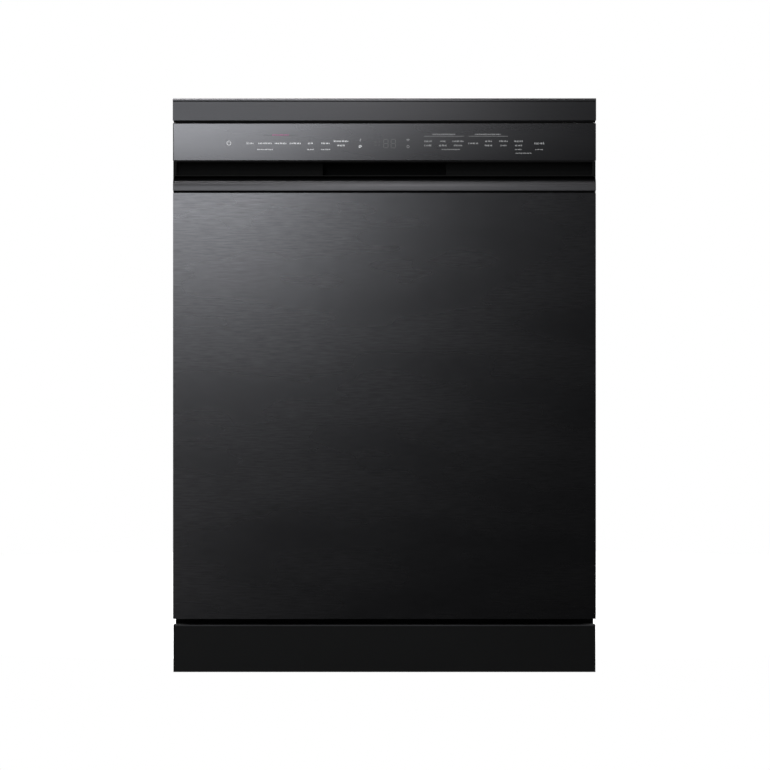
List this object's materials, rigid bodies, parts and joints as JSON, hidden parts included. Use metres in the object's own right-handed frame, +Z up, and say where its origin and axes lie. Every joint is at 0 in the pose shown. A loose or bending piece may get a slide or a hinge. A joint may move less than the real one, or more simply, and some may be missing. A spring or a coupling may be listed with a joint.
{
  "type": "built in dishwasher",
  "caption": "Built in dishwasher with a black brushed steel door, recessed handle channel, touch control panel, wire racks and spray arms.",
  "frame": {"origin": "centre of the footprint on the floor, at the bottom of the levelling feet", "axes": "+Z up, +X to the right seen from the front, the door faces -Y"},
  "size_m": [0.598, 0.6, 0.815],
  "materials": {
    "black_steel": "fine horizontal brushed black steel, satin",
    "black_paint": "satin black powder coat",
    "stainless": "fine brushed stainless steel",
    "zinc": "zinc coated sheet steel",
    "grey_plastic": "moulded grey plastic and grey nylon coating",
    "light_plastic": "moulded light grey plastic",
    "dark_plastic": "moulded black plastic",
    "rubber": "dull black rubber"
  },
  "bodies": {
    "cabinet": {"top_cover": "black_steel", "side_panel_left": "black_paint", "side_panel_right": "black_paint", "rear_panel": "zinc", "base_tray": "dark_plastic", "kickplate": "black_paint", "tub": "stainless", "tub_gasket": "rubber", "hinge_bracket_left": "zinc", "hinge_bracket_right": "zinc", "sump": "dark_plastic", "circulation_pump": "grey_plastic", "drain_pump": "grey_plastic", "water_softener": "light_plastic", "inlet_valve": "light_plastic", "air_break_chamber": "light_plastic", "tub_front_frame": "stainless", "spray_supply_pipe": "light_plastic", "filter_plate": "stainless", "rack_rail_left": "stainless", "rack_rail_right": "stainless", "tray_rail_left": "light_plastic", "tray_rail_right": "light_plastic", "latch_strike": "zinc"},
    "foot_front_left": {"foot_front_left": "dark_plastic"},
    "foot_front_right": {"foot_front_right": "dark_plastic"},
    "foot_rear_left": {"foot_rear_left": "dark_plastic"},
    "foot_rear_right": {"foot_rear_right": "dark_plastic"},
    "coarse_filter": {"coarse_filter": "grey_plastic"},
    "salt_cap": {"salt_cap": "light_plastic"},
    "lower_spray_arm": {"lower_spray_arm": "stainless"},
    "top_spray_arm": {"top_spray_arm": "grey_plastic"},
    "door": {"door_outer_panel": "black_steel", "door_inner_panel": "stainless", "control_panel": "black_steel", "handle_pocket": "dark_plastic", "handle_trim": "black_steel", "display_board": "dark_plastic", "dispenser_body": "grey_plastic", "hinge_arm_left": "zinc", "hinge_arm_right": "zinc"},
    "door_latch": {"door_latch": "zinc"},
    "detergent_lid": {"detergent_lid": "light_plastic"},
    "rinse_aid_cap": {"rinse_aid_cap": "light_plastic"},
    "lower_rack": {"lower_rack": "grey_plastic", "lower_rack_front": "grey_plastic", "lower_rack_back": "grey_plastic"},
    "tine_row_left": {"tine_row_left": "grey_plastic"},
    "tine_row_right": {"tine_row_right": "grey_plastic"},
    "rack_wheel_front_left": {"rack_wheel_front_left": "light_plastic"},
    "rack_wheel_front_right": {"rack_wheel_front_right": "light_plastic"},
    "rack_wheel_rear_left": {"rack_wheel_rear_left": "light_plastic"},
    "rack_wheel_rear_right": {"rack_wheel_rear_right": "light_plastic"},
    "upper_rack": {"upper_rack": "grey_plastic", "upper_rack_front": "grey_plastic", "upper_rack_back": "grey_plastic"},
    "cup_shelf_left": {"cup_shelf_left": "grey_plastic"},
    "cup_shelf_right": {"cup_shelf_right": "grey_plastic"},
    "upper_spray_arm": {"upper_spray_arm": "grey_plastic"},
    "cutlery_tray": {"cutlery_tray": "grey_plastic"}
  },
  "joints": [
    {"name": "door_hinge", "type": "hinge", "parent": "cabinet", "child": "door", "pos_m": [0, -0.282, 0.096], "axis": [1, 0, 0], "range_deg": [0, 90], "stiffness_Nm_per_rad": 18},
    {"name": "door_latch_slide", "type": "slide", "parent": "door", "child": "door_latch", "axis": [0, 0, -1], "range_m": [0, 0.004], "stiffness_N_per_m": 400},
    {"name": "detergent_lid_slide", "type": "slide", "parent": "door", "child": "detergent_lid", "axis": [0, 0, -1], "range_m": [0, 0.08]},
    {"name": "rinse_aid_cap_twist", "type": "hinge", "parent": "door", "child": "rinse_aid_cap", "pos_m": [0.045, -0.2326, 0.43], "axis": [0, 1, 0], "range_deg": [0, 90]},
    {"name": "lower_rack_slide", "type": "slide", "parent": "cabinet", "child": "lower_rack", "axis": [0, -1, 0], "range_m": [0, 0.112]},
    {"name": "upper_rack_slide", "type": "slide", "parent": "cabinet", "child": "upper_rack", "axis": [0, -1, 0], "range_m": [0, 0.362]},
    {"name": "cutlery_tray_slide", "type": "slide", "parent": "cabinet", "child": "cutlery_tray", "axis": [0, -1, 0], "range_m": [0, 0.342]},
    {"name": "rack_wheel_front_left_spin", "type": "hinge", "parent": "lower_rack", "child": "rack_wheel_front_left", "pos_m": [-0.256, -0.165, 0.1514], "axis": [1, 0, 0], "continuous": true},
    {"name": "rack_wheel_front_right_spin", "type": "hinge", "parent": "lower_rack", "child": "rack_wheel_front_right", "pos_m": [0.256, -0.165, 0.1514], "axis": [1, 0, 0], "continuous": true},
    {"name": "rack_wheel_rear_left_spin", "type": "hinge", "parent": "lower_rack", "child": "rack_wheel_rear_left", "pos_m": [-0.256, 0.165, 0.1514], "axis": [1, 0, 0], "continuous": true},
    {"name": "rack_wheel_rear_right_spin", "type": "hinge", "parent": "lower_rack", "child": "rack_wheel_rear_right", "pos_m": [0.256, 0.165, 0.1514], "axis": [1, 0, 0], "continuous": true},
    {"name": "tine_row_left_fold", "type": "hinge", "parent": "lower_rack", "child": "tine_row_left", "pos_m": [-0.11, 0, 0.1635], "axis": [0, -1, 0], "range_deg": [0, 88]},
    {"name": "cup_shelf_left_fold", "type": "hinge", "parent": "upper_rack", "child": "cup_shelf_left", "pos_m": [-0.226, 0, 0.56], "axis": [0, -1, 0], "range_deg": [0, 85]},
    {"name": "tine_row_right_fold", "type": "hinge", "parent": "lower_rack", "child": "tine_row_right", "pos_m": [0.11, 0, 0.1635], "axis": [0, 1, 0], "range_deg": [0, 88]},
    {"name": "cup_shelf_right_fold", "type": "hinge", "parent": "upper_rack", "child": "cup_shelf_right", "pos_m": [0.226, 0, 0.56], "axis": [0, 1, 0], "range_deg": [0, 85]},
    {"name": "lower_spray_arm_spin", "type": "hinge", "parent": "cabinet", "child": "lower_spray_arm", "pos_m": [0, 0, 0.134], "axis": [0, 0, 1], "continuous": true},
    {"name": "upper_spray_arm_spin", "type": "hinge", "parent": "upper_rack", "child": "upper_spray_arm", "pos_m": [0, 0, 0.43], "axis": [0, 0, 1], "continuous": true},
    {"name": "top_spray_arm_spin", "type": "hinge", "parent": "cabinet", "child": "top_spray_arm", "pos_m": [0, 0, 0.738], "axis": [0, 0, 1], "continuous": true},
    {"name": "coarse_filter_twist", "type": "hinge", "parent": "cabinet", "child": "coarse_filter", "pos_m": [0.058, 0, 0.062], "axis": [0, 0, 1], "range_deg": [0, 90]},
    {"name": "salt_cap_twist", "type": "hinge", "parent": "cabinet", "child": "salt_cap", "pos_m": [-0.165, -0.02, 0.11], "axis": [0, 0, 1], "range_deg": [0, 270]},
    {"name": "foot_front_left_height", "type": "slide", "parent": "cabinet", "child": "foot_front_left", "axis": [0, 0, -1], "range_m": [0, 0.06]},
    {"name": "foot_front_right_height", "type": "slide", "parent": "cabinet", "child": "foot_front_right", "axis": [0, 0, -1], "range_m": [0, 0.06]},
    {"name": "foot_rear_left_height", "type": "slide", "parent": "cabinet", "child": "foot_rear_left", "axis": [0, 0, -1], "range_m": [0, 0.06]},
    {"name": "foot_rear_right_height", "type": "slide", "parent": "cabinet", "child": "foot_rear_right", "axis": [0, 0, -1], "range_m": [0, 0.06]}
  ],
  "couplings": [
    {"joint": "upper_rack_slide", "follows": "door_hinge", "m_per_rad": 0.22918},
    {"joint": "cutlery_tray_slide", "follows": "door_hinge", "m_per_rad": 0.21645},
    {"joint": "lower_rack_slide", "follows": "door_hinge", "m_per_rad": 0.07003}
  ]
}
